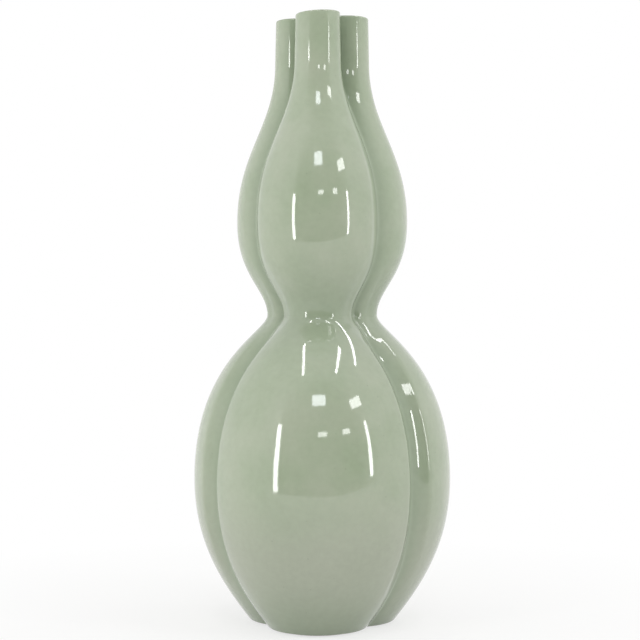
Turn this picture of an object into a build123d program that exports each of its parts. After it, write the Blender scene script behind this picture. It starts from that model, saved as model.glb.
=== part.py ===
"""A celadon vase of three double gourds joined side by side.

Each gourd is turned in sections about an axis of its own: a bowl and a shoulder
for the lower bulb, a bowl and a shoulder for the upper bulb, and a neck, luted
one on the other with slip. The bulbs are pared to a third of a circle and joined
along three upright seams, so that they share one chamber, and the three necks
stand free above it. A floor closes the chamber on a low foot ring.

Millimetres, +Z up. The origin is the middle of the foot's rest face, and the
front gourd lies towards -Y.
"""

import os
from math import cos, radians, sin, sqrt

from build123d import *

# Heights, one above the other from the table up
foot_height = 1.2
lower_bulb_height = 201.8
upper_bulb_height = 167.0
neck_height = 30.0

# Outside radii of one gourd about its own axis
base_radius = 31.5
lower_belly_radius = 68.8
waist_radius = 20.3
upper_belly_radius = 40.4
neck_radius = 15.1
neck_taper = 0.6

# Where a bulb is widest, as a share of its height
lower_belly_share = 0.465
upper_belly_share = 0.368

# How far each curve of the side holds the direction of its end, as a share of its height
neck_pull_share = 0.393
upper_belly_top_pull_share = 0.450
upper_belly_low_pull_share = 0.585
waist_top_pull_share = 0.280
waist_low_pull_share = 0.102
lower_belly_top_pull_share = 0.727
lower_belly_low_pull_share = 0.440
base_pull_share = 0.270
base_spread_share = 0.540

# Walls and their rounded edges
bulb_wall = 5.0
neck_wall = 3.6
rim_rounding = 1.1
base_rounding = 2.5

# How the gourds stand together
neck_gap = 2.4
neck_clearance = 0.4
seam_width = 4.0

# The thumb stroke that draws each lower valley in: how deep at the belly, how round, how thick the
# clay stays behind it, and how far from the middle it starts at the base and ends at the waist
valley_draw = 5.6
thumb_radius = 10.0
valley_wall = 5.0
stroke_base_reach = 53.0
stroke_top_reach = 50.0
stroke_top_pull_share = 0.350
stroke_belly_pull_share = 0.780
stroke_run_out = 25.0

# Stepped joints, where the section above seats a spigot in the one below
lute_thickness = 0.6
neck_skirt = 12.0
neck_spigot_depth = 5.0
neck_spigot_wall = 2.4
belly_joint_rise = 2.0
belly_spigot_depth = 5.0
belly_spigot_wall = 2.2
waist_joint_rise = 6.0
waist_spigot_depth = 5.5
waist_spigot_wall = 2.6
crotch_plug_depth = 24.0

# Floor and foot
floor_thickness = 6.0
base_wall = 5.0
floor_ledge = 4.0
foot_inset = 3.0
foot_width = 7.0
foot_chamfer = 0.6

# How far cutting shapes run past what they cut
overrun = 10.0

# Arrangement, in degrees: the front gourd faces -Y, and each seam lies half a turn further round
GOURD_NAMES = ("front", "right", "left")
SEAM_NAMES = ("front_right", "rear", "front_left")
FRONT_ANGLE = -90
TURN = 360 / len(GOURD_NAMES)
HALF_TURN = TURN / 2
QUARTER_TURN = 90
SQUARE_WITHIN = 1

# Heights and radii that follow from the sizes above
waist_height = foot_height + lower_bulb_height
neck_foot_height = waist_height + upper_bulb_height
rim_height = neck_foot_height + neck_height
lower_belly_height = foot_height + lower_bulb_height * lower_belly_share
upper_belly_height = waist_height + upper_bulb_height * upper_belly_share
floor_top = foot_height + floor_thickness

rim_radius = neck_radius - neck_taper
bore_radius = rim_radius - neck_wall
upper_belly_bore_radius = upper_belly_radius - bulb_wall
waist_bore_radius = waist_radius - bulb_wall
lower_belly_bore_radius = lower_belly_radius - bulb_wall
floor_radius = base_radius - base_wall
floor_socket_radius = floor_radius + lute_thickness
foot_outer_radius = base_radius - base_rounding - foot_inset

neck_joint_height = neck_foot_height - neck_skirt
throat_height = neck_joint_height - neck_spigot_depth
upper_belly_joint_height = upper_belly_height + belly_joint_rise
waist_joint_height = waist_height + waist_joint_rise
lower_belly_joint_height = lower_belly_height + belly_joint_rise
seam_top = neck_joint_height - lute_thickness

# The necks stand a gap apart, which sets how far each gourd's axis is from the middle
axis_to_seam = neck_radius + neck_gap / 2
axis_offset = axis_to_seam / sin(radians(HALF_TURN))
outer_reach = axis_offset + lower_belly_radius + overrun

front_axis = Axis((0, -axis_offset, 0), (0, 0, 1))
front_section = Plane(origin=(0, -axis_offset, 0), x_dir=(0, -1, 0), z_dir=(-1, 0, 0))
valley_angle = radians(FRONT_ANGLE + HALF_TURN)
valley_section = Plane(
    origin=(0, 0, 0),
    x_dir=(cos(valley_angle), sin(valley_angle), 0),
    z_dir=(sin(valley_angle), -cos(valley_angle), 0),
)
seam_foot = axis_offset * cos(radians(HALF_TURN))
pared_distance = axis_to_seam - seam_width / 2
stroke_belly_reach = seam_foot + sqrt(lower_belly_radius**2 - pared_distance**2) - valley_draw + thumb_radius


def upright_curve(top, top_share, bottom, bottom_share):
    """One curve of a gourd's side, upright at both of its ends."""
    rise = Vector(0, top.Y - bottom.Y)
    Bezier(top, top - rise * top_share, bottom + rise * bottom_share, bottom)


def gourd_side(neck, upper_belly, waist, lower_belly, base):
    """The side of a gourd from the foot of its neck down to its base, drawn in the open line."""
    upright_curve(neck, neck_pull_share, upper_belly, upper_belly_top_pull_share)
    upright_curve(upper_belly, upper_belly_low_pull_share, waist, waist_top_pull_share)
    upright_curve(waist, waist_low_pull_share, lower_belly, lower_belly_top_pull_share)
    spread = lower_belly.X - base.X
    rise = lower_belly.Y - base.Y
    belly_pull = lower_belly - Vector(0, rise * lower_belly_low_pull_share)
    base_pull = base + Vector(spread * base_spread_share, rise * base_pull_share)
    Bezier(lower_belly, belly_pull, base_pull, base)


def level_line(height):
    """A level cut right across a gourd, from its axis outwards."""
    return [(0, height), (outer_reach, height)]


def joint_line(height, spigot_depth, spigot_radius, gap):
    """The stepped cut of a joint, lowered and widened by a gap, from the axis outwards."""
    step_radius = spigot_radius + gap
    spigot_end = height - spigot_depth - gap
    shoulder = height - gap
    return [(0, spigot_end), (step_radius, spigot_end), (step_radius, shoulder), (outer_reach, shoulder)]


def joint_cuts(height, spigot_depth, spigot_radius):
    """The two cuts of a joint: the bed of the section below and the seat of the one above."""
    bed = joint_line(height, spigot_depth, spigot_radius, lute_thickness)
    seat = joint_line(height, spigot_depth, spigot_radius, 0)
    return bed, seat


def gourd_outside():
    """The outside of a gourd from the foot of its neck down to its base, drawn in the open line."""
    gourd_side(
        Vector(neck_radius, neck_foot_height),
        Vector(upper_belly_radius, upper_belly_height),
        Vector(waist_radius, waist_height),
        Vector(lower_belly_radius, lower_belly_height),
        Vector(base_radius, foot_height),
    )


def base_corner(section):
    """The outer corner of a gourd's base in its section."""
    return section.vertices().group_by(Axis.Y)[0].sort_by(Axis.X)[-1]


def turned_wall(lower_line, upper_line):
    """The front gourd's wall between two cuts, turned about its own axis."""
    with BuildPart() as wall:
        with BuildSketch(front_section) as section:
            with BuildLine():
                gourd_outside()
                gourd_side(
                    Vector(bore_radius, throat_height),
                    Vector(upper_belly_bore_radius, upper_belly_height),
                    Vector(waist_bore_radius, waist_height),
                    Vector(lower_belly_bore_radius, lower_belly_height),
                    Vector(floor_radius + floor_ledge, floor_top),
                )
                Polyline(
                    (base_radius, foot_height),
                    (floor_socket_radius, foot_height),
                    (floor_socket_radius, floor_top),
                    (floor_radius + floor_ledge, floor_top),
                )
                Polyline(
                    (neck_radius, neck_foot_height),
                    (rim_radius, rim_height),
                    (bore_radius, rim_height),
                    (bore_radius, throat_height),
                )
            make_face()
            fillet(section.vertices().group_by(Axis.Y)[-1], radius=rim_rounding)
            fillet(base_corner(section), radius=base_rounding)
            Polygon(*lower_line, *reversed(upper_line), mode=Mode.INTERSECT)
        revolve(axis=front_axis)
    return wall.part


def turned_body(lower_line, upper_line):
    """The front gourd between two cuts as a full body, turned about its own axis."""
    with BuildPart() as body:
        with BuildSketch(front_section) as section:
            with BuildLine():
                gourd_outside()
                Polyline(
                    (neck_radius, neck_foot_height),
                    (0, neck_foot_height),
                    (0, foot_height),
                    (base_radius, foot_height),
                )
            make_face()
            fillet(base_corner(section), radius=base_rounding)
            Polygon(*lower_line, *reversed(upper_line), mode=Mode.INTERSECT)
        revolve(axis=front_axis)
    return body.part


def thumb_stroke(radius):
    """What a round thumb takes up on its way down the front right valley of the lower bulbs."""
    base = Vector(stroke_base_reach, foot_height)
    belly = Vector(stroke_belly_reach, lower_belly_height)
    top = Vector(stroke_top_reach, waist_height)
    low_rise = Vector(0, belly.Y - base.Y)
    high_rise = Vector(0, top.Y - belly.Y)
    base_pull = base + Vector((belly.X - base.X) * base_spread_share, low_rise.Y * base_pull_share)
    start = base + (base - base_pull).normalized() * stroke_run_out
    belly_low_pull = belly - low_rise * lower_belly_low_pull_share
    belly_top_pull = belly + high_rise * stroke_belly_pull_share
    top_pull = top - high_rise * stroke_top_pull_share
    points = (start, base, base_pull, belly_low_pull, belly, belly_top_pull, top_pull, top)
    run_in, lower_stroke, upper_stroke = slice(0, 2), slice(1, 5), slice(4, 8)
    on_valley = [valley_section.from_local_coords(point) for point in points]
    with BuildPart() as stroke:
        with BuildLine() as line:
            Line(*on_valley[run_in])
            Bezier(*on_valley[lower_stroke])
            Bezier(*on_valley[upper_stroke])
        with BuildSketch(Plane(origin=line.line @ 0, z_dir=line.line % 0)):
            Circle(radius)
        sweep()
    return stroke.part


def pared(turned, half_gap):
    """A turned front piece pared to its third of the circle, a half gap short of its neighbours."""
    apex = Vector(0, -half_gap / sin(radians(HALF_TURN)))
    edge = 2 * outer_reach
    side = Vector(edge * sin(radians(HALF_TURN)), -edge * cos(radians(HALF_TURN)))
    with BuildPart() as piece:
        add(turned)
        with BuildSketch():
            Polygon(apex, apex + side, (0, -2 * edge), apex + Vector(-side.X, side.Y))
        extrude(amount=rim_height + overrun, mode=Mode.INTERSECT)
    return piece.part


def body_third(lower_line, upper_line, strokes=()):
    """The front gourd's third of the body between two cuts, with the waist opened to the middle."""
    third = pared(turned_wall(lower_line, upper_line), seam_width / 2)
    with BuildPart() as body:
        add(third)
        for stroke in strokes:
            add(stroke, mode=Mode.SUBTRACT)
        with BuildSketch(Plane.XY.offset(lower_belly_height)):
            Circle(waist_bore_radius)
        extrude(amount=upper_belly_height - lower_belly_height, mode=Mode.SUBTRACT)
    return body.part


def neck_tube(lower_line, upper_line):
    """The front gourd's neck between two cuts, kept clear of the other necks."""
    return pared(turned_wall(lower_line, upper_line), neck_clearance / 2)


def seam_faces(third, turn):
    """The flat faces that a third of the body shows to its neighbour on the anticlockwise side."""
    facing = radians(FRONT_ANGLE + turn + HALF_TURN + QUARTER_TURN)
    towards = Vector(cos(facing), sin(facing))
    flats = third.faces().filter_by(GeomType.PLANE)
    return flats.filter_by(lambda face: face.normal_at().get_angle(towards) < SQUARE_WITHIN)


def trefoil(radius, mode=Mode.ADD):
    """Three circles on the gourds' axes, with the seams between them filled, in the open sketch."""
    seam_reach = seam_foot + sqrt(radius**2 - pared_distance**2)
    with PolarLocations(axis_offset, len(GOURD_NAMES), FRONT_ANGLE):
        Circle(radius, mode=mode)
    with PolarLocations(0, len(GOURD_NAMES), FRONT_ANGLE + HALF_TURN):
        Rectangle(seam_reach, seam_width, align=(Align.MIN, Align.CENTER), mode=mode)


def write(piece, name):
    """Labels a finished piece and writes it to its own file."""
    piece.part.label = name
    export_step(piece.part, f"parts/{name}.step")


os.makedirs("parts", exist_ok=True)

# The cuts between the sections of a gourd, from the table up
base_cut = level_line(0)
lower_belly_bed, lower_belly_seat = joint_cuts(
    lower_belly_joint_height, belly_spigot_depth, lower_belly_bore_radius + belly_spigot_wall
)
waist_bed, waist_seat = joint_cuts(
    waist_joint_height, waist_spigot_depth, waist_bore_radius + waist_spigot_wall
)
upper_belly_bed, upper_belly_seat = joint_cuts(
    upper_belly_joint_height, belly_spigot_depth, upper_belly_bore_radius + belly_spigot_wall
)
neck_bed, neck_seat = joint_cuts(neck_joint_height, neck_spigot_depth, bore_radius + neck_spigot_wall)
rim_cut = level_line(rim_height + overrun)

# The valleys beside the front gourd, drawn by the thumb, and the room that the drawn clay takes up
valley_hollow = thumb_stroke(thumb_radius)
valley_room = thumb_stroke(thumb_radius + valley_wall)
front_valley_rooms = (valley_room, valley_room.rotate(Axis.Z, -TURN))

# Sections of the front gourd, each with the slip that beds the next one's spigot
front_sections = {
    "lower_bowl": body_third(base_cut, lower_belly_bed, front_valley_rooms),
    "lower_belly_lute": body_third(lower_belly_bed, lower_belly_seat, front_valley_rooms),
    "lower_shoulder": body_third(lower_belly_seat, waist_bed, front_valley_rooms),
    "upper_bowl": body_third(waist_seat, upper_belly_bed),
    "upper_belly_lute": body_third(upper_belly_bed, upper_belly_seat),
    "upper_shoulder": body_third(upper_belly_seat, neck_bed),
    "neck_lute": neck_tube(neck_bed, neck_seat),
    "neck": neck_tube(neck_seat, rim_cut),
}

# The three gourds repeat the front one's sections round the middle
for index, gourd in enumerate(GOURD_NAMES):
    for name, section in front_sections.items():
        with BuildPart() as gourd_section:
            add(section.rotate(Axis.Z, index * TURN))
        write(gourd_section, f"{name}_{gourd}")

# Clay that the thumb draws in on both sides of the front right valley, from the gourds beside it
lower_front = pared(turned_body(base_cut, waist_bed), 0)
drawn_clay = []
for index, room in enumerate(front_valley_rooms):
    with BuildPart() as drawn_side:
        add(lower_front)
        add(room, mode=Mode.INTERSECT)
    drawn_clay.append(drawn_side.part.rotate(Axis.Z, index * TURN))

# Seams: coils of clay of the walls' own section, which fill the valley from each gourd to the next,
# the lower ones drawn in to a round hollow
lower_third = body_third(base_cut, waist_bed)
upper_third = body_third(waist_seat, neck_bed)
with BuildPart() as lower_seam:
    extrude(seam_faces(lower_third, 0), amount=seam_width)
    add(drawn_clay)
    add(valley_hollow, mode=Mode.SUBTRACT)
with BuildPart() as upper_seam:
    extrude(seam_faces(upper_third, 0), amount=seam_width)
for index, seam in enumerate(SEAM_NAMES):
    for name, front_right in (("lower_seam", lower_seam), ("upper_seam", upper_seam)):
        with BuildPart() as seam_coil:
            add(front_right.part.rotate(Axis.Z, index * TURN))
        write(seam_coil, f"{name}_{seam}")

# Waist lute: one ring of slip between the finished lower body and the upper one
front_waist_lute = body_third(waist_bed, waist_seat)
with BuildPart() as waist_lute:
    for index in range(len(GOURD_NAMES)):
        turn = index * TURN
        lute_third = front_waist_lute.rotate(Axis.Z, turn)
        add(lute_third)
        extrude(seam_faces(lute_third, turn), amount=seam_width)
write(waist_lute, "waist_lute")

# Crotch plug: closes the three-sided well where the three upper seams meet between the necks
with BuildPart() as crotch_plug:
    with BuildSketch(Plane.XY.offset(seam_top - crotch_plug_depth)):
        RegularPolygon(seam_width / 2 / sin(radians(HALF_TURN)), len(GOURD_NAMES), rotation=FRONT_ANGLE)
    extrude(amount=crotch_plug_depth)
write(crotch_plug, "crotch_plug")

# Floor: a slab let into the foot of the walls
with BuildPart() as floor:
    with BuildSketch(Plane.XY.offset(foot_height)):
        trefoil(floor_radius)
    extrude(amount=floor_thickness)
write(floor, "floor")

# Floor lute: the slip round the slab
with BuildPart() as floor_lute:
    with BuildSketch(Plane.XY.offset(foot_height)):
        trefoil(floor_socket_radius)
        trefoil(floor_radius, mode=Mode.SUBTRACT)
    extrude(amount=floor_thickness)
write(floor_lute, "floor_lute")

# Foot ring: the low unglazed ring that the vase stands on, under the edge of the floor
with BuildPart() as foot_ring:
    with BuildSketch():
        trefoil(foot_outer_radius)
        offset(amount=-foot_width, mode=Mode.SUBTRACT)
    extrude(amount=foot_height)
    rest_face = foot_ring.faces().sort_by(Axis.Z)[0]
    chamfer(rest_face.outer_wire().edges(), length=foot_chamfer)
write(foot_ring, "foot_ring")
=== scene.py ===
"""A celadon vase of three double gourds joined side by side, dressed for its photograph.

The sections follow the vase from the table up, as a potter puts it together: foot and
floor, the lower bulbs, the waist, the upper bulbs and the necks, then the studio.
Metres, +Z up, the front gourd towards -Y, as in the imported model.
"""

import math

import bpy
import numpy as np
from mathutils import Matrix


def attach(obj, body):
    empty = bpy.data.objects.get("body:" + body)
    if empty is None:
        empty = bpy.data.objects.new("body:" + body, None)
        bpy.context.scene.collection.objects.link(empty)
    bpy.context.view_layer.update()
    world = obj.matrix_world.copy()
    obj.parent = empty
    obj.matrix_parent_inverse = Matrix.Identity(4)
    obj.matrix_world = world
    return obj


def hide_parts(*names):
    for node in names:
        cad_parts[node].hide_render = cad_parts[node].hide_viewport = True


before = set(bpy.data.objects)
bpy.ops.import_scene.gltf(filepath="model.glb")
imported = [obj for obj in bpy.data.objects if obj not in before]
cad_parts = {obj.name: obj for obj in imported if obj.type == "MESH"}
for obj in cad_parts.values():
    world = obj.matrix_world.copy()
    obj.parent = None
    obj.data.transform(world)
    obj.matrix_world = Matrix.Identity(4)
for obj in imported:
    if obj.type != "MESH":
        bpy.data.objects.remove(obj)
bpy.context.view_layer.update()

# Foot ring: a low ring of the stoneware body under the joint of wall and floor.
# It is wiped free of glaze before firing so that the vase doesn't stick to the
# kiln shelf, and it fires to a dry, slightly sandy buff grey.
MM = 0.001


def linear(hex_colour):
    """An sRGB hex colour as the linear colour that a shader socket takes."""
    channels = [int(hex_colour[i : i + 2], 16) / 255 for i in (1, 3, 5)]
    return (*[c / 12.92 if c <= 0.04045 else ((c + 0.055) / 1.055) ** 2.4 for c in channels], 1.0)


def add_node(tree, kind, inputs, **settings):
    """Adds a node with its settings; an input is a value, a socket to link, or a list of sockets."""
    node = tree.nodes.new(kind)
    for key, value in settings.items():
        setattr(node, key, value)
    for key, value in inputs.items():
        for source in value if isinstance(value, list) else [value]:
            if isinstance(source, bpy.types.NodeSocket):
                tree.links.new(source, node.inputs[key])
            else:
                node.inputs[key].default_value = source
    return node


def new_surface(name):
    """A material with an empty node tree, and the object coordinates that its patterns read."""
    material = bpy.data.materials.new(name)
    material.use_nodes = True
    material.node_tree.nodes.clear()
    place = add_node(material.node_tree, "ShaderNodeTexCoord", {}).outputs["Object"]
    return material, material.node_tree, place


def per_mm(size):
    """The scale of a noise whose features are about this many millimetres, on coordinates in metres."""
    return 1 / (size * MM)


# Stoneware, sponged and fired bare: dry to the eye, sandy, with a little warm and dark grog in it
bare_stoneware, tree, place = new_surface("stoneware_wiped_and_fired_bare")
sand = add_node(tree, "ShaderNodeTexNoise", {"Vector": place, "Scale": per_mm(1.2), "Detail": 6.0})
clay = add_node(tree, "ShaderNodeValToRGB", {"Fac": sand.outputs["Fac"]})
clay.color_ramp.elements[0].position = 0.30
clay.color_ramp.elements[0].color = linear("#8C7A63")
clay.color_ramp.elements[1].position = 0.65
clay.color_ramp.elements[1].color = linear("#C9BBA3")
grit = add_node(
    tree, "ShaderNodeBump", {"Height": sand.outputs["Fac"], "Strength": 0.5, "Distance": 0.15 * MM}
)
shader = add_node(
    tree,
    "ShaderNodeBsdfPrincipled",
    {"Base Color": clay.outputs["Color"], "Roughness": 0.86, "IOR": 1.5, "Normal": grit.outputs["Normal"]},
)
add_node(tree, "ShaderNodeOutputMaterial", {"Surface": shader.outputs["BSDF"]})


def finish_cad_node(name, material):
    """Gives a piece that keeps its CAD shape its finish."""
    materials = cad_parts[name].data.materials
    materials.clear()
    materials.append(material)


finish_cad_node("foot_ring", bare_stoneware)

# Floor and the slip round it: a slab rolled from the same stoneware, let into the foot of
# the walls and pressed home in slip. The glaze that was poured inside covers the slab; the
# slip under it stays bare.

# Celadon: a thick feldspar glaze with a little iron, fired in a smoky kiln to a pale grey green.
# It is clouded with fine bubbles, darker and greener where it ran together, and that darker
# glaze also paints the shade in the valleys, round the waist and at the base. It is speckled here
# and there with iron, and glossy as wet stone, over a wall that kept the ripples of the hand.
celadon, tree, place = new_surface("celadon_glaze_poured_and_fired")
clouds = add_node(
    tree,
    "ShaderNodeTexNoise",
    {"Vector": place, "Scale": per_mm(34), "Detail": 3.0, "Roughness": 0.55},
)
glaze = add_node(tree, "ShaderNodeValToRGB", {"Fac": clouds.outputs["Fac"]})
glaze.color_ramp.elements[0].position = 0.32
glaze.color_ramp.elements[0].color = linear("#9AA78E")
glaze.color_ramp.elements[1].position = 0.68
glaze.color_ramp.elements[1].color = linear("#A5AE99")
height = add_node(tree, "ShaderNodeSeparateXYZ", {"Vector": place})
ASHEN_ABOVE, ASHEN_BELOW = 110 * MM, 40 * MM
ashen = add_node(
    tree,
    "ShaderNodeMapRange",
    {"Value": height.outputs["Z"], "From Min": ASHEN_ABOVE, "From Max": ASHEN_BELOW, "To Max": 0.8},
    interpolation_type="SMOOTHSTEP",
)
low_glaze = add_node(
    tree,
    "ShaderNodeMix",
    {"Factor": ashen.outputs["Result"], 6: glaze.outputs["Color"], 7: linear("#A0A595")},
    data_type="RGBA",
)
# Darker, greener glaze where it ran together; it is also painted shade in the valleys, round the waist and at
# the base
pooled_glaze_and_shade = add_node(tree, "ShaderNodeAttribute", {}, attribute_name="glaze_depth")
pooled_and_shaded_glaze = add_node(
    tree,
    "ShaderNodeMix",
    {"Factor": pooled_glaze_and_shade.outputs["Fac"], 6: low_glaze.outputs[2], 7: linear("#87957D")},
    data_type="RGBA",
)
bubbles = add_node(tree, "ShaderNodeTexNoise", {"Vector": place, "Scale": per_mm(4), "Detail": 4.0})
bubble_haze = add_node(
    tree, "ShaderNodeMapRange", {"Value": bubbles.outputs["Fac"], "To Min": 0.94, "To Max": 1.06}
)
grains = add_node(tree, "ShaderNodeTexVoronoi", {"Vector": place, "Scale": per_mm(9)})
specks = add_node(
    tree,
    "ShaderNodeMapRange",
    {"Value": grains.outputs["Distance"], "From Min": 0.03, "From Max": 0.07, "To Min": 0.90},
)
tone = add_node(
    tree,
    "ShaderNodeMath",
    {0: bubble_haze.outputs["Result"], 1: specks.outputs["Result"]},
    operation="MULTIPLY",
)
toned = add_node(
    tree,
    "ShaderNodeVectorMath",
    {0: pooled_and_shaded_glaze.outputs[2], "Scale": tone.outputs[0]},
    operation="SCALE",
)
ripples = add_node(tree, "ShaderNodeTexNoise", {"Vector": place, "Scale": per_mm(26), "Detail": 1.0})
peel = add_node(tree, "ShaderNodeTexNoise", {"Vector": place, "Scale": per_mm(5), "Detail": 1.0})
RIPPLE_HEIGHT, PEEL_HEIGHT = 0.22 * MM, 0.012 * MM
hand = add_node(
    tree, "ShaderNodeBump", {"Height": ripples.outputs["Fac"], "Strength": 1.0, "Distance": RIPPLE_HEIGHT}
)
surface = add_node(
    tree,
    "ShaderNodeBump",
    {
        "Height": peel.outputs["Fac"],
        "Strength": 1.0,
        "Distance": PEEL_HEIGHT,
        "Normal": hand.outputs["Normal"],
    },
)
shader = add_node(
    tree,
    "ShaderNodeBsdfPrincipled",
    {
        "Base Color": toned.outputs["Vector"],
        "Roughness": 0.06,
        "IOR": 1.62,
        "Normal": surface.outputs["Normal"],
    },
)
add_node(tree, "ShaderNodeOutputMaterial", {"Surface": shader.outputs["BSDF"]})

finish_cad_node("floor", celadon)
finish_cad_node("floor_lute", bare_stoneware)

# Lower bowls: the lower halves of the three big bulbs, turned in stoneware about their own
# axes and pared upright to a third of the circle, so that they stand against each other.
GOURDS = {"front": 0, "right": math.tau / 3, "left": 2 * math.tau / 3}
SIXTH = math.tau / 6
FOOT_HEIGHT, FLOOR_TOP, RIM_HEIGHT = 1.2 * MM, 7.2 * MM, 400.0 * MM
LOWER_BELLY, WAIST, UPPER_BELLY = 95.037 * MM, 203.0 * MM, 264.456 * MM
THROAT, NECK_FOOT = 353.0 * MM, 370.0 * MM
BASE_RADIUS, FLOOR_SOCKET_RADIUS, FLOOR_LEDGE_RADIUS = 31.5 * MM, 27.1 * MM, 30.5 * MM
LOWER_BELLY_RADIUS, WAIST_RADIUS, UPPER_BELLY_RADIUS = 68.8 * MM, 20.3 * MM, 40.4 * MM
NECK_RADIUS, RIM_RADIUS, BORE_RADIUS = 15.1 * MM, 14.5 * MM, 10.9 * MM
WALL, LUTE, RIM_ROUNDING, BASE_ROUNDING = 5.0 * MM, 0.6 * MM, 1.1 * MM, 2.5 * MM
AXIS_TO_SEAM, HALF_SEAM = 16.3 * MM, 2.0 * MM
AXIS_OFFSET = AXIS_TO_SEAM / math.sin(SIXTH)
WAIST_BORE = WAIST_RADIUS - WALL


def curve_points(start, start_pull, end_pull, end, step):
    """Points along one cubic curve of a gourd's side, about a step apart, without its last point."""
    knots = np.array([start, start_pull, end_pull, end])
    count = round(np.linalg.norm(np.diff(knots, axis=0), axis=1).sum() / step)
    t = np.arange(count)[:, None] / count
    start_part = (1 - t) ** 3 * knots[0] + 3 * (1 - t) ** 2 * t * knots[1]
    return start_part + 3 * (1 - t) * t**2 * knots[2] + t**3 * knots[3]


def arc_points(centre, radius, start, end, count=8):
    """Points along a rounded edge, from one angle of its normal to another."""
    angles = np.linspace(start, end, count)
    return np.stack([centre[0] + radius * np.cos(angles), centre[1] + radius * np.sin(angles)], axis=1)


BASE_OUT_SHARE, BASE_UP_SHARE, BOWL_BELLY_SHARE = 0.540, 0.270, 0.440
SHOULDER_SHARES, UPPER_BOWL_SHARES, UPPER_SHOULDER_SHARES = (0.727, 0.102), (0.280, 0.585), (0.450, 0.393)


def gourd_side(base, lower_belly, waist, upper_belly, neck, step):
    """The side of a gourd as (radius, height) points from its base up to the foot of its neck."""

    def upright(low, high, shares):
        rise = high[1] - low[1]
        low_pull = (low[0], low[1] + rise * shares[0])
        high_pull = (high[0], high[1] - rise * shares[1])
        return curve_points(low, low_pull, high_pull, high, step)

    spread, rise = lower_belly[0] - base[0], lower_belly[1] - base[1]
    base_pull = (base[0] + spread * BASE_OUT_SHARE, base[1] + rise * BASE_UP_SHARE)
    belly_pull = (lower_belly[0], lower_belly[1] - rise * BOWL_BELLY_SHARE)
    return np.concatenate(
        [
            curve_points(base, base_pull, belly_pull, lower_belly, step),
            upright(lower_belly, waist, SHOULDER_SHARES),
            upright(waist, upper_belly, UPPER_BOWL_SHARES),
            upright(upper_belly, neck, UPPER_SHOULDER_SHARES),
        ]
    )


def outside(rim_height):
    """The glazed outside of a gourd from the edge of its base to the top of its rim."""
    side = gourd_side(
        (BASE_RADIUS, FOOT_HEIGHT),
        (LOWER_BELLY_RADIUS, LOWER_BELLY),
        (WAIST_RADIUS, WAIST),
        (UPPER_BELLY_RADIUS, UPPER_BELLY),
        (NECK_RADIUS, NECK_FOOT),
        step=1.5 * MM,
    )
    lean = math.atan2(*(side[1] - side[0])[::-1])
    edge_start = BASE_RADIUS - BASE_ROUNDING * math.tan(lean / 2)
    edge_centre = (edge_start, FOOT_HEIGHT + BASE_ROUNDING)
    edge = arc_points(edge_centre, BASE_ROUNDING, -math.pi / 2, lean - math.pi / 2)
    taper = math.atan2(NECK_RADIUS - RIM_RADIUS, RIM_HEIGHT - NECK_FOOT)
    lip_height = rim_height - RIM_ROUNDING
    lip = arc_points((RIM_RADIUS - RIM_ROUNDING, lip_height), RIM_ROUNDING, taper, math.pi / 2)
    heights = np.arange(NECK_FOOT, lip_height - MM, 2 * MM)
    neck = np.stack([np.interp(heights, (NECK_FOOT, lip_height), (NECK_RADIUS, lip[0][0])), heights], axis=1)
    return np.concatenate([edge, side[side[:, 1] > edge[-1][1] + 0.1 * MM], neck, lip])


def inside(rim_height):
    """The inside of a gourd from the edge of its floor to the top of its rim."""
    side = gourd_side(
        (FLOOR_LEDGE_RADIUS, FLOOR_TOP),
        (LOWER_BELLY_RADIUS - WALL, LOWER_BELLY),
        (WAIST_BORE, WAIST),
        (UPPER_BELLY_RADIUS - WALL, UPPER_BELLY),
        (BORE_RADIUS, THROAT),
        step=2.5 * MM,
    )
    lip_centre = (BORE_RADIUS + RIM_ROUNDING, rim_height - RIM_ROUNDING)
    lip = arc_points(lip_centre, RIM_ROUNDING, math.pi, math.pi / 2)
    return np.concatenate([side, [(BORE_RADIUS, THROAT)], lip])


def between(side, low, high):
    """The stretch of a side from one height up to another, with points at both heights."""
    ends = [(np.interp(height, side[:, 1], side[:, 0]), height) for height in (low, high)]
    middle = side[(side[:, 1] > low + 0.01 * MM) & (side[:, 1] < high - 0.01 * MM)]
    return np.concatenate([[ends[0]], middle, [ends[1]]])


def joint(height, spigot_depth, spigot_radius, gap):
    """A stepped cut between two sections: the height outside, the step's radius, the height inside."""
    return height - gap, spigot_radius + gap, height - spigot_depth - gap


def wall_outline(low_cut, high_cut, rim_height=RIM_HEIGHT):
    """The closed outline of a gourd's wall between two cuts, as (radius, height) points."""
    outer = between(outside(rim_height), low_cut[0], high_cut[0])
    inner = between(inside(rim_height), low_cut[2], high_cut[2])[::-1]
    top = [(high_cut[1], high_cut[0]), (high_cut[1], high_cut[2])] if high_cut[1] else np.empty((0, 2))
    bottom = [(low_cut[1], low_cut[2]), (low_cut[1], low_cut[0])]
    return np.concatenate([outer, top, inner, bottom]), len(outer)


# The tree turns an outline about the gourd's axis, pares it to its third with a six-sided
# block whose corner is the third's own corner, and opens the waist to the middle.
turning = bpy.data.node_groups.new("turned_and_pared_section", "GeometryNodeTree")
sockets = {
    label: turning.interface.new_socket(label, in_out="INPUT", socket_type=kind).identifier
    for label, kind in {
        "Outline": "NodeSocketGeometry",
        "Axis Offset": "NodeSocketFloat",
        "Corner Offset": "NodeSocketFloat",
        "Waist Bore": "NodeSocketFloat",
        "Turn": "NodeSocketFloat",
        "Steps Round": "NodeSocketInt",
        "Finish": "NodeSocketMaterial",
    }.items()
}
turning.interface.new_socket("Section", in_out="OUTPUT", socket_type="NodeSocketGeometry")
given = add_node(turning, "NodeGroupInput", {}).outputs
RAIL_RADIUS = 10 * MM
BLOCK_RADIUS = 200 * MM
rail = add_node(
    turning,
    "GeometryNodeCurvePrimitiveCircle",
    {"Resolution": given["Steps Round"], "Radius": RAIL_RADIUS},
)
profile = add_node(
    turning, "GeometryNodeTransform", {"Geometry": given["Outline"], "Translation": (-RAIL_RADIUS, 0, 0)}
)
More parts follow.
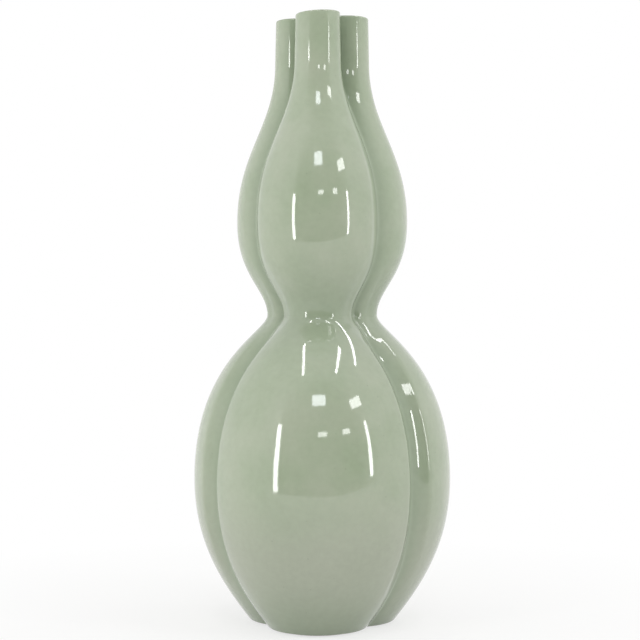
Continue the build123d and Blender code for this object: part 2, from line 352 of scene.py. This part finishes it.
turned = add_node(
    turning,
    "GeometryNodeCurveToMesh",
    {"Curve": rail.outputs["Curve"], "Profile Curve": profile.outputs["Geometry"]},
)
axis = add_node(turning, "ShaderNodeMath", {0: given["Axis Offset"], 1: -1.0}, operation="MULTIPLY")
axis_place = add_node(turning, "ShaderNodeCombineXYZ", {"Y": axis.outputs[0]})
upright = add_node(
    turning,
    "GeometryNodeTransform",
    {"Geometry": turned.outputs["Mesh"], "Translation": axis_place.outputs[0], "Rotation": (math.pi, 0, 0)},
)
block = add_node(
    turning, "GeometryNodeMeshCylinder", {"Vertices": 6, "Radius": BLOCK_RADIUS, "Depth": 3 * RIM_HEIGHT}
)
corner = add_node(
    turning, "ShaderNodeMath", {0: -BLOCK_RADIUS, 1: given["Corner Offset"]}, operation="SUBTRACT"
)
corner_place = add_node(turning, "ShaderNodeCombineXYZ", {"Y": corner.outputs[0]})
corner_block = add_node(
    turning,
    "GeometryNodeTransform",
    {
        "Geometry": block.outputs["Mesh"],
        "Translation": corner_place.outputs[0],
        "Rotation": (0, 0, SIXTH / 2),
    },
)
pared = add_node(
    turning,
    "GeometryNodeMeshBoolean",
    {1: [upright.outputs["Geometry"], corner_block.outputs["Geometry"]]},
    operation="INTERSECT",
    solver="MANIFOLD",
)
core = add_node(
    turning,
    "GeometryNodeMeshCylinder",
    {"Vertices": given["Steps Round"], "Radius": given["Waist Bore"], "Depth": UPPER_BELLY - LOWER_BELLY},
)
core_place = add_node(
    turning,
    "GeometryNodeTransform",
    {"Geometry": core.outputs["Mesh"], "Translation": (0, 0, (UPPER_BELLY + LOWER_BELLY) / 2)},
)
opened = add_node(
    turning,
    "GeometryNodeMeshBoolean",
    {0: pared.outputs["Mesh"], 1: core_place.outputs["Geometry"]},
    operation="DIFFERENCE",
    solver="MANIFOLD",
)
turn_angles = add_node(turning, "ShaderNodeCombineXYZ", {"Z": given["Turn"]})
placed = add_node(
    turning, "GeometryNodeTransform", {"Geometry": opened.outputs["Mesh"], "Rotation": turn_angles.outputs[0]}
)
smooth = add_node(turning, "GeometryNodeSetShadeSmooth", {"Geometry": placed.outputs["Geometry"]})
single = add_node(turning, "GeometryNodeRealizeInstances", {"Geometry": smooth.outputs["Geometry"]})
finished = add_node(
    turning, "GeometryNodeSetMaterial", {"Geometry": single.outputs["Geometry"], "Material": given["Finish"]}
)
add_node(turning, "NodeGroupOutput", {0: finished.outputs["Geometry"]})


SEAMS = {"front_right": 0, "rear": math.tau / 3, "front_left": 2 * math.tau / 3}
VALLEY_REACH, VALLEY_SHOULDER, VALLEY_END = 12.0 * MM, 175.0 * MM, 345.0 * MM
HOLLOW_SHARE = 0.85
BORDER_SHARE = (1 - HOLLOW_SHARE**2) / HOLLOW_SHARE
VALLEY_DRAWS = {
    FLOOR_TOP: 0,
    LOWER_BELLY: 5.0 * MM,
    VALLEY_SHOULDER: 4.5 * MM,
    WAIST: -2.5 * MM,
    UPPER_BELLY: 1.0 * MM,
    VALLEY_END: 0,
}


def valley_frame(turn):
    """The directions out along a valley, across it and up, as the columns of a matrix."""
    out = turn - math.pi / 2 + SIXTH
    return np.array([[math.cos(out), -math.sin(out), 0], [math.sin(out), math.cos(out), 0], [0, 0, 1]])


def draw_valleys(points, facing):
    """Draws the soft clay by each valley in, or out at the waist, and turns what it faces to suit."""
    knots, draws = np.array(list(VALLEY_DRAWS)), np.array(list(VALLEY_DRAWS.values()))
    low = np.clip(np.searchsorted(knots, points[:, 2]) - 1, 0, len(knots) - 2)
    span, step = knots[low + 1] - knots[low], draws[low + 1] - draws[low]
    climb = np.clip((points[:, 2] - knots[low]) / span, 0, 1)
    draw = draws[low] + step * climb**2 * (3 - 2 * climb)
    draw_change = step * 6 * climb * (1 - climb) / span
    for turn in SEAMS.values():
        axes = valley_frame(turn)
        out, across, _ = (points @ axes).T
        side = np.where(out > 0, np.abs(across) / VALLEY_REACH, np.inf)
        border = np.maximum(HOLLOW_SHARE + BORDER_SHARE - side, 0) * HOLLOW_SHARE / BORDER_SHARE
        hollow = side < HOLLOW_SHARE
        share = np.where(hollow, 1 - np.minimum(side, 1) ** 2, border**2 * BORDER_SHARE / HOLLOW_SHARE)
        slope = -2 * np.where(hollow, side, border) * np.sign(across) / VALLEY_REACH
        lean = facing @ axes
        lean[:, 1] += lean[:, 0] * draw * slope
        lean[:, 2] += lean[:, 0] * draw_change * share
        facing = lean @ axes.T
        points = points - (draw * share)[:, None] * axes[:, 0]
    return points, facing / np.maximum(np.linalg.norm(facing, axis=1), 1e-9)[:, None]


CREASE_ANGLE = math.radians(40)


def lay_normals(mesh, turn, rim_height):
    """Draws the valleys in and keeps the turned curve's own normals outside, so that no joint shows."""
    mesh.set_sharp_from_angle(angle=CREASE_ANGLE)
    skin = outside(rim_height)
    rise = np.gradient(skin, axis=0)
    tilt = np.arctan2(-rise[:, 0], rise[:, 1])
    places = np.array([v.co for v in mesh.vertices])
    points = places @ np.array(Matrix.Rotation(turn, 3, "Z"))
    points[:, 1] += AXIS_OFFSET
    radius, height = np.hypot(points[:, 0], points[:, 1]), points[:, 2]
    on_skin = np.abs(radius - np.interp(height, skin[:, 1], skin[:, 0])) < 0.02 * MM
    angle = np.interp(height, skin[:, 1], tilt)
    flat = points / radius[:, None]
    normals = np.stack([flat[:, 0] * np.cos(angle), flat[:, 1] * np.cos(angle), np.sin(angle)], axis=1)
    normals = normals @ np.array(Matrix.Rotation(-turn, 3, "Z"))
    places, facing = draw_valleys(places, normals)
    loops = np.zeros((len(mesh.loops), 3))
    for face in mesh.polygons:
        corners = list(face.vertices)
        if on_skin[corners].all() and np.dot(normals[corners[0]], face.normal) > 0.8:
            loops[face.loop_start : face.loop_start + face.loop_total] = facing[corners]
    mesh.vertices.foreach_set("co", places.ravel())
    mesh.update()
    mesh.normals_split_custom_set(loops.tolist())


# Pooled glaze and painted shade: how dark it gets and how far it reaches at the waist, the base and the
# valleys
WAIST_POOL_AND_SHADE, BASE_POOL_AND_SHADE, VALLEY_POOL_AND_SHADE = 0.45, 0.6, 0.7
WAIST_POOL_AND_SHADE_REACH, BASE_POOL_AND_SHADE_REACH, VALLEY_POOL_AND_SHADE_REACH = 24 * MM, 26 * MM, 8 * MM


def pool_glaze_and_paint_shade(mesh):
    """Marks where the glaze ran together, darker and greener, and paints shade with it: in the valleys, round
    the waist and at the base.
    """
    places = np.array([v.co for v in mesh.vertices])
    pooled_and_shaded = WAIST_POOL_AND_SHADE * np.exp(-(((places[:, 2] - WAIST) / WAIST_POOL_AND_SHADE_REACH) ** 2))
    pooled_and_shaded = np.maximum(pooled_and_shaded, BASE_POOL_AND_SHADE * np.exp(-((places[:, 2] / BASE_POOL_AND_SHADE_REACH) ** 2)))
    for turn in SEAMS.values():
        out, across, _ = (places @ valley_frame(turn)).T
        valley = VALLEY_POOL_AND_SHADE * np.exp(-((across / VALLEY_POOL_AND_SHADE_REACH) ** 2)) * (out > 0)
        pooled_and_shaded = np.maximum(pooled_and_shaded, valley)
    mesh.attributes.new("glaze_depth", "FLOAT", "POINT").data.foreach_set("value", pooled_and_shaded)


def present(name, mesh, slot, *nodes):
    """Puts a finished piece in the scene in place of its CAD nodes."""
    # Paints the pooled glaze, and the shade in the valleys, round the waist and at the base
    pool_glaze_and_paint_shade(mesh)
    piece = bpy.data.objects.new(f"vase_{name}", mesh)
    bpy.context.scene.collection.objects.link(piece)
    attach(piece, "root")
    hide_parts(*nodes)
    return piece


STEPS_ROUND = 480


def turned_section(name, low_cut, high_cut, turn, slot, corner_gap=HALF_SEAM, rim_height=RIM_HEIGHT):
    """One turned section of a gourd, from its outline through the tree to a finished piece."""
    outline, _ = wall_outline(low_cut, high_cut, rim_height)
    curve = bpy.data.curves.new(f"{name}_outline", "CURVE")
    curve.dimensions = "3D"
    spline = curve.splines.new("POLY")
    spline.points.add(len(outline) - 1)
    spline.points.foreach_set("co", [c for r, z in outline for c in (r, z, 0, 1)])
    spline.use_cyclic_u = True
    template = bpy.data.objects.new(f"{name}_outline", curve)
    bpy.context.scene.collection.objects.link(template)
    modifier = template.modifiers.new("turning", "NODES")
    modifier.node_group = turning
    modifier[sockets["Axis Offset"]] = AXIS_OFFSET
    modifier[sockets["Corner Offset"]] = corner_gap / math.sin(SIXTH)
    modifier[sockets["Waist Bore"]] = WAIST_BORE
    modifier[sockets["Turn"]] = turn
    modifier[sockets["Steps Round"]] = STEPS_ROUND
    modifier[sockets["Finish"]] = celadon
    depsgraph = bpy.context.evaluated_depsgraph_get()
    mesh = bpy.data.meshes.new_from_object(template.evaluated_get(depsgraph), depsgraph=depsgraph)
    template.modifiers.remove(modifier)
    bpy.data.objects.remove(template)
    bpy.data.curves.remove(curve)
    lay_normals(mesh, turn, rim_height)
    return present(name, mesh, slot, name)


BASE_CUT = (FOOT_HEIGHT, FLOOR_SOCKET_RADIUS, FLOOR_TOP)
lower_belly_joint = (LOWER_BELLY + 2.0 * MM, 5.0 * MM, LOWER_BELLY_RADIUS - WALL + 2.2 * MM)
lower_belly_bed = joint(*lower_belly_joint, LUTE)
for gourd, turn in GOURDS.items():
    turned_section(f"lower_bowl_{gourd}", BASE_CUT, lower_belly_bed, turn, "celadon_glaze")

# Slip in the lower belly joints: the creamy clay that beds each shoulder's spigot in its bowl.
# Only its edge reaches the outside, a hair line under the glaze that runs on over it.
lower_belly_seat = joint(*lower_belly_joint, 0)
for gourd, turn in GOURDS.items():
    turned_section(f"lower_belly_lute_{gourd}", lower_belly_bed, lower_belly_seat, turn, "slip_lute")

# Lower shoulders: the upper halves of the big bulbs, turned in stoneware like the bowls and
# drawn in to the waist; the spigot under each one seats in the bowl below.
waist_joint = (WAIST + 6.0 * MM, 5.5 * MM, WAIST_BORE + 2.6 * MM)
waist_bed = joint(*waist_joint, LUTE)
for gourd, turn in GOURDS.items():
    turned_section(f"lower_shoulder_{gourd}", lower_belly_seat, waist_bed, turn, "celadon_glaze")

# Lower seams: coils of clay pressed into the three upright valleys between the lower bulbs
# and drawn smooth with a finger, so that each valley is a soft hollow from gourd to gourd.
PARED_DEPTH = AXIS_TO_SEAM - HALF_SEAM
CORNER_RADIUS = AXIS_OFFSET - HALF_SEAM / math.sin(SIXTH)


VALLEY_STEPS, LOBE_STEPS = 13, 97


def across_valley(radius, share):
    """Points across the hollow between two gourds of one radius, and how they face.

    The share runs from -1 at one gourd to 1 at the next, and out is from the middle of the vase.
    """
    hollow = HALF_SEAM * radius / PARED_DEPTH
    reach = np.sqrt((radius + hollow) ** 2 - AXIS_TO_SEAM**2)
    swing = share * np.arctan2(AXIS_TO_SEAM, reach)
    widen = HALF_SEAM / PARED_DEPTH
    follow = (radius + hollow) * (1 + widen) / reach * np.cos(swing) - widen
    return AXIS_OFFSET / 2 + reach - hollow * np.cos(swing), hollow * np.sin(swing), swing, follow


def seam_coil(name, low_cut, high_cut, turn, top_rounding=0):
    """One seam: the wall's own outline where the gourds are pared, carried across the valley."""
    outline, outer_count = wall_outline(low_cut, high_cut)
    outer, inner = outline[:outer_count], outline[outer_count:]
    shares = np.linspace(-1, 1, VALLEY_STEPS)
    flat = np.sqrt(np.maximum(inner[:, 0] ** 2 - PARED_DEPTH**2, 0))
    clear_of_core = np.sqrt(WAIST_BORE**2 - HALF_SEAM**2)
    front = np.stack([AXIS_OFFSET / 2 + flat, inner[:, 1]], axis=1)[inner[:, 0] > PARED_DEPTH]
    waist = (front[:, 1] > LOWER_BELLY) & (front[:, 1] < UPPER_BELLY)
    front[waist, 0] = np.maximum(front[waist, 0], clear_of_core)
    throat = (inner[:, 0] > PARED_DEPTH) & (inner[:, 0] < CORNER_RADIUS) & (inner[:, 1] > UPPER_BELLY)
    rear = np.stack([AXIS_OFFSET / 2 - flat, inner[:, 1]], axis=1)[throat][::-1]
    if len(rear):
        apex = HALF_SEAM / math.tan(SIXTH)
        rear = np.concatenate([[(apex, high_cut[0]), (apex, rear[0][1])], rear])
    if top_rounding:
        outer = between(outer, low_cut[0], high_cut[0] - top_rounding)
    out, side, swing, follow = across_valley(outer[:, 0, None], shares)
    rows = [np.stack([out, side, np.broadcast_to(outer[:, 1, None], out.shape)], axis=2)]
    if top_rounding:
        bend = np.linspace(0, math.pi / 2, 7)[1:, None]
        lip = np.broadcast_to(rows[0][-1], (6, len(shares), 3)).copy()
        lip[:, :, 0] -= top_rounding * (1 - np.cos(bend))
        lip[:, :, 2] += top_rounding * np.sin(bend)
        rows.append(lip)
    straight = np.concatenate([rear, front])
    grid = np.empty((len(straight), len(shares), 3))
    grid[:, :, 0], grid[:, :, 2] = straight[:, 0, None], straight[:, 1, None]
    grid[:, :, 1] = HALF_SEAM * shares
    rows = np.concatenate([*rows, grid])
    turned = valley_frame(turn)
    count, width = rows.shape[:2]
    index = np.arange(count * width).reshape(count, width)
    nxt = np.roll(index, -1, axis=0)
    quads = np.stack([index[:, :-1], index[:, 1:], nxt[:, 1:], nxt[:, :-1]], axis=2).reshape(-1, 4)
    faces = [*quads.tolist(), index[:, 0].tolist(), index[::-1, -1].tolist()]
    rise = np.gradient(outer, axis=0)
    rise /= np.linalg.norm(rise, axis=1)[:, None]
    facing = np.zeros(rows.shape)
    lean, lift = rise[:, 1, None], -rise[:, 0, None]
    facing[: len(outer)] = np.stack([np.cos(swing) * lean, -np.sin(swing) * lean, follow * lift], axis=2)
    places, facing = draw_valleys(rows.reshape(-1, 3) @ turned.T, facing.reshape(-1, 3) @ turned.T)
    mesh = bpy.data.meshes.new(name)
    mesh.from_pydata(places.tolist(), [], faces)
    mesh.materials.append(celadon)
    mesh.shade_smooth()
    mesh.set_sharp_from_angle(angle=CREASE_ANGLE)
    loops = np.zeros((len(mesh.loops), 3))
    for face in mesh.polygons:
        corners = list(face.vertices)
        if max(corners) < len(outer) * width and face.loop_total == 4:
            loops[face.loop_start : face.loop_start + 4] = facing[corners]
    mesh.normals_split_custom_set(loops.tolist())
    return present(name, mesh, "celadon_glaze", name)


for seam, turn in SEAMS.items():
    seam_coil(f"lower_seam_{seam}", BASE_CUT, waist_bed, turn)

# Slip in the waist joint: one ring of slip round the whole trefoil, on which the finished
# upper body is set down on the lower one. The glaze runs on over its edge.
waist_seat = joint(*waist_joint, 0)


def trefoil_ring(name, low_cut, high_cut, slot):
    """A ring of one outline carried round all three gourds and the valleys between them."""
    outline, outer_count = wall_outline(low_cut, high_cut)
    radius, height = outline[:, 0, None], outline[:, 1, None]
    lobe = np.linspace(-1, 1, LOBE_STEPS) * (SIXTH * 2.5 - np.arccos(PARED_DEPTH / radius))
    shares = np.linspace(-1, 1, VALLEY_STEPS)[1:-1]
    out, side, swing, follow = across_valley(radius, shares)
    flat = AXIS_OFFSET / 2 + np.sqrt(radius**2 - PARED_DEPTH**2)
    out[outer_count:], side[outer_count:] = flat[outer_count:], HALF_SEAM * shares
    rise = np.gradient(outline[:outer_count], axis=0)
    rise /= np.linalg.norm(rise, axis=1)[:, None]
    path, facing = [], []
    for turn in GOURDS.values():
        lobe_points = np.stack(
            [radius * np.sin(lobe), -AXIS_OFFSET - radius * np.cos(lobe), 0 * lobe + height], axis=2
        )
        valley_points = np.stack([out, side, 0 * out + height], axis=2)
        spin = np.array(Matrix.Rotation(turn, 3, "Z"))
        path += [lobe_points @ spin.T, valley_points @ valley_frame(turn).T]
        lean, lift = rise[:, 1, None], -rise[:, 0, None]
        lobe_facing = np.stack([np.sin(lobe), -np.cos(lobe), 0 * lobe], axis=2)
        lobe_facing = lobe_facing[:outer_count] * lean[:, :, None]
        lobe_facing[:, :, 2] = lift
        valley_facing = np.stack([np.cos(swing), -np.sin(swing), 0 * swing], axis=2)
        valley_facing = valley_facing[:outer_count] * lean[:, :, None]
        valley_facing[:, :, 2] = lift * follow[:outer_count]
        facing += [lobe_facing @ spin.T, valley_facing @ valley_frame(turn).T]
    rows, outer_facing = np.concatenate(path, axis=1), np.concatenate(facing, axis=1)
    facing = np.zeros(rows.shape)
    facing[:outer_count] = outer_facing
    places, facing = draw_valleys(rows.reshape(-1, 3), facing.reshape(-1, 3))
    index = np.arange(rows.shape[0] * rows.shape[1]).reshape(rows.shape[:2])
    right, up = np.roll(index, -1, axis=1), np.roll(index, -1, axis=0)
    quads = np.stack([index, right, np.roll(up, -1, axis=1), up], axis=2).reshape(-1, 4)
    mesh = bpy.data.meshes.new(name)
    mesh.from_pydata(places.tolist(), [], quads.tolist())
    mesh.materials.append(celadon)
    mesh.shade_smooth()
    mesh.set_sharp_from_angle(angle=CREASE_ANGLE)
    loops = np.zeros((len(mesh.loops), 3))
    for face in mesh.polygons:
        corners = list(face.vertices)
        if max(corners) < outer_facing.shape[0] * outer_facing.shape[1]:
            loops[face.loop_start : face.loop_start + 4] = facing[corners]
    mesh.normals_split_custom_set(loops.tolist())
    return present(name, mesh, slot, name)


trefoil_ring("waist_lute", waist_bed, waist_seat, "slip_lute")

# Upper bowls: the lower halves of the slimmer upper bulbs, turned and pared like the others,
# with a spigot below that seats in the waist.
upper_belly_joint = (UPPER_BELLY + 2.0 * MM, 5.0 * MM, UPPER_BELLY_RADIUS - WALL + 2.2 * MM)
upper_belly_bed = joint(*upper_belly_joint, LUTE)
for gourd, turn in GOURDS.items():
    turned_section(f"upper_bowl_{gourd}", waist_seat, upper_belly_bed, turn, "celadon_glaze")

# Slip in the upper belly joints, as in the lower ones.
upper_belly_seat = joint(*upper_belly_joint, 0)
for gourd, turn in GOURDS.items():
    turned_section(f"upper_belly_lute_{gourd}", upper_belly_bed, upper_belly_seat, turn, "slip_lute")

# Upper shoulders: the upper halves of the upper bulbs, drawn in to the throats. Each one ends
# in a socket for its neck, just where the three gourds part.
neck_joint = (THROAT + 5.0 * MM, 5.0 * MM, BORE_RADIUS + 2.4 * MM)
neck_bed = joint(*neck_joint, LUTE)
for gourd, turn in GOURDS.items():
    turned_section(f"upper_shoulder_{gourd}", upper_belly_seat, neck_bed, turn, "celadon_glaze")

# Upper seams and crotch plug: the coils between the upper bulbs, rounded over at the top where
# the necks part, and the bit of clay that closes the small well in the middle.
for seam, turn in SEAMS.items():
    seam_coil(f"upper_seam_{seam}", waist_seat, neck_bed, turn, top_rounding=2.0 * MM)
finish_cad_node("crotch_plug", celadon)

# Slip in the neck joints, as in the belly joints.
neck_seat = joint(*neck_joint, 0)
NECK_GAP = 0.2 * MM
for gourd, turn in GOURDS.items():
    turned_section(f"neck_lute_{gourd}", neck_bed, neck_seat, turn, "slip_lute", NECK_GAP)

# Necks: straight tubes turned in stoneware, drawn in a little towards a rounded rim, and set
# into the shoulders. As hand work is, the rear left one was cut a little short and the front
# one's rim a little out of level.
RIM_HEIGHTS = {"front": RIM_HEIGHT, "right": RIM_HEIGHT, "left": RIM_HEIGHT - 1.4 * MM}
RIM_DROPS = {"front": 1.6 * MM, "right": 0, "left": 0}
for gourd, turn in GOURDS.items():
    rim = RIM_HEIGHTS[gourd]
    neck = turned_section(f"neck_{gourd}", neck_seat, (rim, None, rim), turn, "celadon_glaze", NECK_GAP, rim)
    for vertex in neck.data.vertices:
        climb = max(vertex.co.z - NECK_FOOT, 0) / (rim - NECK_FOOT)
        vertex.co.z -= RIM_DROPS[gourd] * climb * (1 - vertex.co.x / RIM_RADIUS) / 2

# Table: a white sheet under the vase, which ends a little way in front of it. It keeps the
# vase's own soft shadow and fades to the white of the background further out.
table, tree, place = new_surface("white_studio_sheet")
distance = add_node(tree, "ShaderNodeVectorMath", {0: place}, operation="LENGTH")
fade = add_node(
    tree,
    "ShaderNodeMapRange",
    {"Value": distance.outputs["Value"], "From Min": 0.06, "From Max": 0.40, "To Min": 0.7},
)
seen = add_node(tree, "ShaderNodeLightPath", {})
shows = add_node(
    tree,
    "ShaderNodeMath",
    {0: seen.outputs["Is Camera Ray"], 1: seen.outputs["Is Glossy Ray"]},
    operation="MAXIMUM",
)
white_out = add_node(
    tree, "ShaderNodeMath", {0: fade.outputs["Result"], 1: shows.outputs[0]}, operation="MULTIPLY"
)
paper = add_node(tree, "ShaderNodeBsdfDiffuse", {"Color": linear("#F7F7F6")})
white = add_node(tree, "ShaderNodeEmission", {"Color": linear("#FFFFFF"), "Strength": 1.0})
shown = add_node(
    tree,
    "ShaderNodeMixShader",
    {0: white_out.outputs[0], 1: paper.outputs["BSDF"], 2: white.outputs["Emission"]},
)
add_node(tree, "ShaderNodeOutputMaterial", {"Surface": shown.outputs["Shader"]})
sheet_mesh = bpy.data.meshes.new("studio_sheet")
sheet_mesh.from_pydata([(-1.6, -0.75, 0), (1.6, -0.75, 0), (1.6, 1.6, 0), (-1.6, 1.6, 0)], [], [(0, 1, 2, 3)])
sheet_mesh.materials.append(table)
studio_sheet = bpy.data.objects.new("studio_sheet", sheet_mesh)
studio_sheet.location.z = -0.2 * MM
bpy.context.scene.collection.objects.link(studio_sheet)

# Studio: a white tent, open at the front on a dim room. The room shows only as the darker
# patch that the gourds mirror between the two lamps at the sides of the opening.
dim, tree, place = new_surface("dim_room")
room = add_node(tree, "ShaderNodeSeparateXYZ", {"Vector": place})
room_left = add_node(
    tree, "ShaderNodeMapRange", {"Value": room.outputs["X"], "From Min": -1.9, "From Max": -2.8}
)
room_right = add_node(
    tree, "ShaderNodeMapRange", {"Value": room.outputs["X"], "From Min": 2.0, "From Max": 4.0}
)
room_top = add_node(
    tree, "ShaderNodeMapRange", {"Value": room.outputs["Z"], "From Min": 1.6, "From Max": 4.2}
)
room_sides = add_node(
    tree,
    "ShaderNodeMath",
    {0: room_left.outputs["Result"], 1: room_right.outputs["Result"]},
    operation="MAXIMUM",
)
room_edge = add_node(
    tree, "ShaderNodeMath", {0: room_sides.outputs[0], 1: room_top.outputs["Result"]}, operation="MAXIMUM"
)
room_tone = add_node(tree, "ShaderNodeMix", {"Factor": room_edge.outputs[0]}, data_type="RGBA")
room_tone.inputs[6].default_value, room_tone.inputs[7].default_value = linear("#30322E"), linear("#FFFFFF")
room_glow = add_node(tree, "ShaderNodeEmission", {"Color": room_tone.outputs[2], "Strength": 1.0})
add_node(tree, "ShaderNodeOutputMaterial", {"Surface": room_glow.outputs["Emission"]})
ROOM_LEFT, ROOM_RIGHT, ROOM_FLOOR, ROOM_TOP = (-2.86, -3.07), (4.02, -1.23), -1.8, 5.2
room_corners = [
    (*ROOM_LEFT, ROOM_FLOOR),
    (*ROOM_RIGHT, ROOM_FLOOR),
    (*ROOM_RIGHT, ROOM_TOP),
    (*ROOM_LEFT, ROOM_TOP),
]
room_mesh = bpy.data.meshes.new("dim_room")
room_mesh.from_pydata(room_corners, [], [(3, 2, 1, 0)])
room_mesh.materials.append(dim)
dim_room = bpy.data.objects.new("dim_room", room_mesh)
for ray in ("camera", "diffuse", "transmission", "volume_scatter", "shadow"):
    setattr(dim_room, f"visible_{ray}", False)
bpy.context.scene.collection.objects.link(dim_room)

world = bpy.data.worlds.new("white_tent")
bpy.context.scene.world = world
world.use_nodes = True
tree = world.node_tree
tree.nodes.clear()
seen = add_node(tree, "ShaderNodeLightPath", {})
mirrored = add_node(
    tree,
    "ShaderNodeMath",
    {0: seen.outputs["Is Camera Ray"], 1: seen.outputs["Is Glossy Ray"]},
    operation="MAXIMUM",
)
background = add_node(
    tree,
    "ShaderNodeMath",
    {0: mirrored.outputs[0], 1: seen.outputs["Is Transmission Ray"]},
    operation="MAXIMUM",
)
tent_light = add_node(tree, "ShaderNodeBackground", {"Color": linear("#FFFEFA"), "Strength": 0.45})
tent_white = add_node(tree, "ShaderNodeBackground", {"Color": linear("#FFFFFF"), "Strength": 1.0})
tent = add_node(
    tree,
    "ShaderNodeMixShader",
    {0: background.outputs[0], 1: tent_light.outputs["Background"], 2: tent_white.outputs["Background"]},
)
add_node(tree, "ShaderNodeOutputWorld", {"Surface": tent.outputs["Shader"]})


def add_lamp(name, place, target, width, height, radiance, colour="#FFFFFF", mirrored=True):
    """A plain rectangular lamp at a place, turned to a target, as bright as a sheet of this radiance."""
    light = bpy.data.lights.new(name, "AREA")
    light.shape, light.size, light.size_y = "RECTANGLE", width, height
    light.energy = radiance * width * height * math.pi
    light.color = linear(colour)[:3]
    lamp = bpy.data.objects.new(name, light)
    lamp.visible_camera, lamp.visible_glossy = False, mirrored
    lamp.location = place
    aim = Matrix.Translation(target).translation - lamp.location
    lamp.rotation_euler = aim.to_track_quat("-Z", "Y").to_euler()
    bpy.context.scene.collection.objects.link(lamp)
    return lamp


add_lamp("left_strip", (-0.62, -0.80, 0.285), (0, 0, 0.285), 0.085, 0.57, 14)
add_lamp("right_strip", (0.878, -0.468, 0.34), (0, 0, 0.34), 0.06, 0.48, 14)
add_lamp("ceiling_panel_near", (0.256, -2.084, 2.08), (0, 0, 0.2), 0.70, 0.37, 9, "#F4F8FF")
add_lamp("ceiling_panel_side", (1.714, -1.03, 1.627), (0, 0, 0.2), 0.57, 0.27, 9)
add_lamp("ceiling_panel_far", (0.40, -2.06, 0.96), (0, 0, 0.2), 0.38, 0.11, 8)
add_lamp("ceiling_panel_far_side", (1.385, -1.71, 1.00), (0, 0, 0.2), 0.34, 0.13, 8)
add_lamp("left_top_strip", (-0.15, -0.22, 0.74), (-0.15, -0.22, 0), 0.03, 0.28, 14)
add_lamp("right_top_strip", (0.25, -0.14, 0.74), (0.25, -0.14, 0), 0.03, 0.28, 14)
add_lamp("right_back_strip", (0.44, 0.16, 0.80), (0, 0, 0.15), 0.34, 0.03, 14)
add_lamp("left_soft_panel", (-1.45, -0.15, 0.35), (0, 0, 0.2), 1.2, 1.4, 1.8, mirrored=False)
add_lamp("right_soft_panel", (1.45, 0.15, 0.35), (0, 0, 0.2), 1.2, 1.4, 0.8, mirrored=False)
add_lamp("back_soft_panel", (0.0, 1.50, 0.45), (0, 0, 0.2), 1.4, 1.4, 1.3, mirrored=False)

# Camera: level, at the height of the waist, a little to the right of the front gourd
camera_data = bpy.data.cameras.new("camera")
camera_data.sensor_width = 36
camera_data.lens = 95.6
camera_data.shift_x, camera_data.shift_y = -0.65 / 640, -19.2 / 640
camera = bpy.data.objects.new("camera", camera_data)
CAMERA_ANGLE, CAMERA_DISTANCE, EYE_HEIGHT = math.radians(5.7), 1.122, 0.2125
camera.location = (
    CAMERA_DISTANCE * math.sin(CAMERA_ANGLE),
    -CAMERA_DISTANCE * math.cos(CAMERA_ANGLE),
    EYE_HEIGHT,
)
camera.rotation_euler = (math.pi / 2, 0, CAMERA_ANGLE)
bpy.context.scene.collection.objects.link(camera)
bpy.context.scene.camera = camera
bpy.context.scene.view_settings.view_transform = "Standard"
